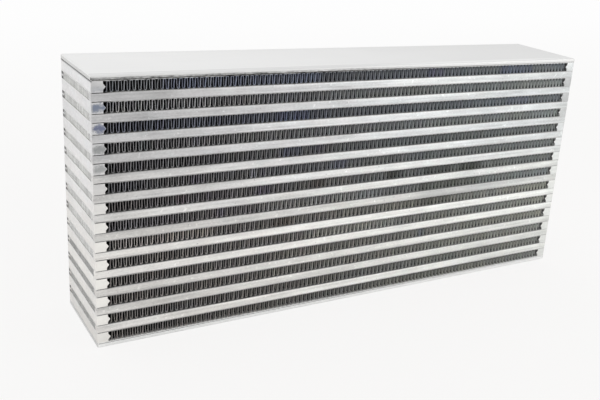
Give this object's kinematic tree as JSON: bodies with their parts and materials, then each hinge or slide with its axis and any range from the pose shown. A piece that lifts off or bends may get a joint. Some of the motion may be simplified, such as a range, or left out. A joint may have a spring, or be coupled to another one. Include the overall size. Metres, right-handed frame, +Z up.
{
  "type": "intercooler core",
  "caption": "Bare bar-and-plate intercooler core: a brazed stack of folded fins, parting sheets and closing bars between two side plates, open at both ends for welded tanks.",
  "frame": {"origin": "middle of the lower side plate's underside", "axes": "+X along the core with the charge air, +Y from the front face to the rear with the cooling air, +Z up the stack"},
  "size_m": [0.508, 0.09, 0.2317],
  "materials": {
    "side_plate": "mill-finish rolled plate with faint rolling streaks",
    "parting_sheet": "brazed sheet edge, slightly darker than the bars",
    "end_bar": "extruded bar, satin, with braze stains",
    "side_bar": "extruded bar, satin, with cloudy braze stains",
    "air_fin": "thin folded strip, dull after brazing",
    "charge_fin": "thin folded strip, dull after brazing"
  },
  "bodies": {
    "root": {"top_plate": "side_plate", "bottom_plate": "side_plate", "parting_sheet_01": "parting_sheet", "parting_sheet_02": "parting_sheet", "parting_sheet_03": "parting_sheet", "parting_sheet_04": "parting_sheet", "parting_sheet_05": "parting_sheet", "parting_sheet_06": "parting_sheet", "parting_sheet_07": "parting_sheet", "parting_sheet_08": "parting_sheet", "parting_sheet_09": "parting_sheet", "parting_sheet_10": "parting_sheet", "parting_sheet_11": "parting_sheet", "parting_sheet_12": "parting_sheet", "parting_sheet_13": "parting_sheet", "parting_sheet_14": "parting_sheet", "parting_sheet_15": "parting_sheet", "parting_sheet_16": "parting_sheet", "parting_sheet_17": "parting_sheet", "parting_sheet_18": "parting_sheet", "parting_sheet_19": "parting_sheet", "parting_sheet_20": "parting_sheet", "parting_sheet_21": "parting_sheet", "parting_sheet_22": "parting_sheet", "parting_sheet_23": "parting_sheet", "parting_sheet_24": "parting_sheet", "parting_sheet_25": "parting_sheet", "parting_sheet_26": "parting_sheet", "left_end_bars": "end_bar", "right_end_bars": "end_bar", "front_side_bars": "side_bar", "rear_side_bars": "side_bar", "air_fin_01": "air_fin", "air_fin_02": "air_fin", "air_fin_03": "air_fin", "air_fin_04": "air_fin", "air_fin_05": "air_fin", "air_fin_06": "air_fin", "air_fin_07": "air_fin", "air_fin_08": "air_fin", "air_fin_09": "air_fin", "air_fin_10": "air_fin", "air_fin_11": "air_fin", "air_fin_12": "air_fin", "air_fin_13": "air_fin", "air_fin_14": "air_fin", "charge_fin_01": "charge_fin", "charge_fin_02": "charge_fin", "charge_fin_03": "charge_fin", "charge_fin_04": "charge_fin", "charge_fin_05": "charge_fin", "charge_fin_06": "charge_fin", "charge_fin_07": "charge_fin", "charge_fin_08": "charge_fin", "charge_fin_09": "charge_fin", "charge_fin_10": "charge_fin", "charge_fin_11": "charge_fin", "charge_fin_12": "charge_fin", "charge_fin_13": "charge_fin"}
  },
  "joints": []
}
